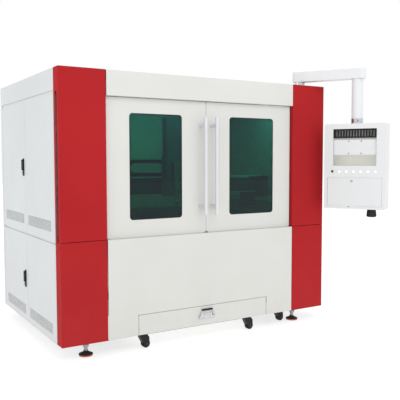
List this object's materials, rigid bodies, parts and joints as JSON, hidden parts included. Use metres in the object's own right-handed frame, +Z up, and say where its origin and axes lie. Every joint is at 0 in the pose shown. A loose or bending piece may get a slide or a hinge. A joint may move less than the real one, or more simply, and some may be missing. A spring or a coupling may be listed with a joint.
{
  "type": "fiber laser cutting machine",
  "caption": "Enclosed sheet-metal laser cutter: gantry over a serrated slat table, windowed double doors, scrap drawer, side service doors and a swing-arm operator console.",
  "frame": {"origin": "centre of the bounding box's underside, on the floor", "axes": "+X to the machine's right, +Y to its back, +Z up; the operator stands on the -Y side"},
  "size_m": [2.6152, 2.151, 2.1],
  "materials": {
    "white_paint": "satin powder coat, warm white",
    "side_paint": "satin powder coat, cool white",
    "red_paint": "satin powder coat, signal red",
    "frame_paint": "satin paint, dark grey",
    "bed_paint": "satin paint, mid grey",
    "graphite_paint": "satin paint, graphite",
    "galvanised": "zinc-plated sheet",
    "ground_steel": "ground and oiled",
    "slat_steel": "mild steel as cut",
    "bar_aluminium": "satin anodised",
    "chrome": "plated",
    "foot_casting": "black paint",
    "sole_rubber": "moulded, orange red",
    "black_rubber": "moulded",
    "black_plastic": "moulded, fine grain",
    "laser_glass": "tinted laser-safe pane"
  },
  "bodies": {
    "cabinet": {"frame_tubes": "frame_paint", "roof_panel": "white_paint", "rear_panels": "white_paint", "upper_pillar_covers": "red_paint", "lower_pillar_covers": "red_paint", "front_header": "white_paint", "front_lower_panel": "white_paint", "left_side_trims": "side_paint", "right_side_panels": "side_paint", "inner_panels": "galvanised", "bed_beams": "bed_paint", "gantry_rails": "ground_steel", "table_frame": "bed_paint", "table_slats": "slat_steel", "scrap_chute": "galvanised", "foot_screws": "chrome", "foot_discs": "foot_casting", "foot_soles": "sole_rubber", "door_hinges": "ground_steel", "laser_source": "graphite_paint", "control_plate": "galvanised", "exhaust_spigot": "galvanised", "arm_coupling": "chrome"},
    "left_door": {"left_front_door": "white_paint", "left_window": "laser_glass", "left_door_handle": "bar_aluminium"},
    "right_door": {"right_front_door": "white_paint", "right_window": "laser_glass", "right_door_handle": "bar_aluminium"},
    "upper_rear_leaf": {"upper_rear_door": "side_paint", "upper_latch_dish": "black_plastic"},
    "upper_front_leaf": {"upper_front_door": "side_paint"},
    "lower_rear_leaf": {"lower_rear_door": "side_paint", "lower_latch_dish": "black_plastic"},
    "lower_front_leaf": {"lower_front_door": "side_paint"},
    "upper_lever": {"upper_latch_lever": "black_plastic"},
    "lower_lever": {"lower_latch_lever": "black_plastic"},
    "gantry": {"gantry_beam": "bar_aluminium", "gantry_trucks": "graphite_paint", "cable_chain": "black_plastic"},
    "carriage": {"x_carriage": "graphite_paint"},
    "head": {"cutting_head": "chrome"},
    "drawer": {"scrap_drawer": "white_paint", "drawer_pull_plate": "chrome"},
    "bail": {"drawer_bail": "chrome", "drawer_grip": "black_rubber"},
    "left_caster": {"left_caster_hood": "black_plastic"},
    "left_wheel": {"left_caster_wheel": "black_rubber"},
    "middle_caster": {"middle_caster_hood": "black_plastic"},
    "middle_wheel": {"middle_caster_wheel": "black_rubber"},
    "right_caster": {"right_caster_hood": "black_plastic"},
    "right_wheel": {"right_caster_wheel": "black_rubber"},
    "arm": {"swing_arm": "white_paint"},
    "console": {"console_coupling": "chrome", "console_case": "white_paint", "console_grille": "black_plastic", "monitor_bar": "white_paint", "console_grip": "black_rubber"},
    "flap": {"console_flap": "white_paint"},
    "lock": {"flap_lock": "chrome"}
  },
  "joints": [
    {"name": "left_front_door_hinge", "type": "hinge", "parent": "cabinet", "child": "left_door", "pos_m": [-0.93559, -0.48248, 0.815], "axis": [0, 0, -1], "range_deg": [0, 90]},
    {"name": "right_front_door_hinge", "type": "hinge", "parent": "cabinet", "child": "right_door", "pos_m": [0.67441, -0.48248, 0.815], "axis": [0, 0, 1], "range_deg": [0, 90]},
    {"name": "upper_rear_door_hinge", "type": "hinge", "parent": "cabinet", "child": "upper_rear_leaf", "pos_m": [-1.28059, 0.95052, 1.3], "axis": [0, 0, -1], "range_deg": [0, 100]},
    {"name": "upper_front_door_hinge", "type": "hinge", "parent": "cabinet", "child": "upper_front_leaf", "pos_m": [-1.28059, -0.40648, 1.3], "axis": [0, 0, 1], "range_deg": [0, 100]},
    {"name": "lower_rear_door_hinge", "type": "hinge", "parent": "cabinet", "child": "lower_rear_leaf", "pos_m": [-1.28059, 0.95052, 0.45], "axis": [0, 0, -1], "range_deg": [0, 100]},
    {"name": "lower_front_door_hinge", "type": "hinge", "parent": "cabinet", "child": "lower_front_leaf", "pos_m": [-1.28059, -0.40648, 0.45], "axis": [0, 0, 1], "range_deg": [0, 100]},
    {"name": "upper_latch_lift", "type": "hinge", "parent": "upper_rear_leaf", "child": "upper_lever", "pos_m": [-1.29989, 0.32552, 1.363], "axis": [0, 1, 0], "range_deg": [0, 60]},
    {"name": "lower_latch_lift", "type": "hinge", "parent": "lower_rear_leaf", "child": "lower_lever", "pos_m": [-1.29989, 0.32552, 0.491], "axis": [0, 1, 0], "range_deg": [0, 60]},
    {"name": "gantry_travel", "type": "slide", "parent": "cabinet", "child": "gantry", "axis": [0, 1, 0], "range_m": [-0.06, 0.84]},
    {"name": "carriage_travel", "type": "slide", "parent": "gantry", "child": "carriage", "axis": [1, 0, 0], "range_m": [-0.52, 0.78], "deforming": ["cable_chain"]},
    {"name": "head_height", "type": "slide", "parent": "carriage", "child": "head", "axis": [0, 0, 1], "range_m": [-0.06, 0.04]},
    {"name": "drawer_pull", "type": "slide", "parent": "cabinet", "child": "drawer", "axis": [0, -1, 0], "range_m": [0, 0.7]},
    {"name": "bail_fold", "type": "hinge", "parent": "drawer", "child": "bail", "pos_m": [-0.14759, -0.53348, 0.17], "axis": [1, 0, 0], "range_deg": [0, 90]},
    {"name": "left_caster_swivel", "type": "hinge", "parent": "drawer", "child": "left_caster", "pos_m": [-0.68659, -0.49848, 0.08], "axis": [0, 0, 1], "continuous": true},
    {"name": "left_wheel_spin", "type": "hinge", "parent": "left_caster", "child": "left_wheel", "pos_m": [-0.65859, -0.49848, 0.031], "axis": [0, 1, 0], "continuous": true},
    {"name": "middle_caster_swivel", "type": "hinge", "parent": "drawer", "child": "middle_caster", "pos_m": [0.24241, -0.49848, 0.08], "axis": [0, 0, 1], "continuous": true},
    {"name": "middle_wheel_spin", "type": "hinge", "parent": "middle_caster", "child": "middle_wheel", "pos_m": [0.27041, -0.49848, 0.031], "axis": [0, 1, 0], "continuous": true},
    {"name": "right_caster_swivel", "type": "hinge", "parent": "cabinet", "child": "right_caster", "pos_m": [0.62041, -0.41848, 0.08], "axis": [0, 0, 1], "continuous": true},
    {"name": "right_wheel_spin", "type": "hinge", "parent": "right_caster", "child": "right_wheel", "pos_m": [0.64841, -0.41848, 0.031], "axis": [0, 1, 0], "continuous": true},
    {"name": "arm_swing", "type": "hinge", "parent": "cabinet", "child": "arm", "pos_m": [0.86441, -0.40448, 2.02], "axis": [0, 0, 1], "range_deg": [-30, 58]},
    {"name": "console_turn", "type": "hinge", "parent": "arm", "child": "console", "pos_m": [1.11729, -0.82535, 1.697], "axis": [0, 0, 1], "range_deg": [-150, 150]},
    {"name": "flap_tilt", "type": "hinge", "parent": "console", "child": "flap", "pos_m": [1.05986, -0.85985, 0.991], "axis": [0.515, -0.8572, 0], "range_deg": [0, 90]},
    {"name": "flap_lock_turn", "type": "hinge", "parent": "flap", "child": "lock", "pos_m": [1.04442, -0.8458, 1.19], "axis": [-0.8572, -0.515, 0], "range_deg": [0, 90]}
  ]
}
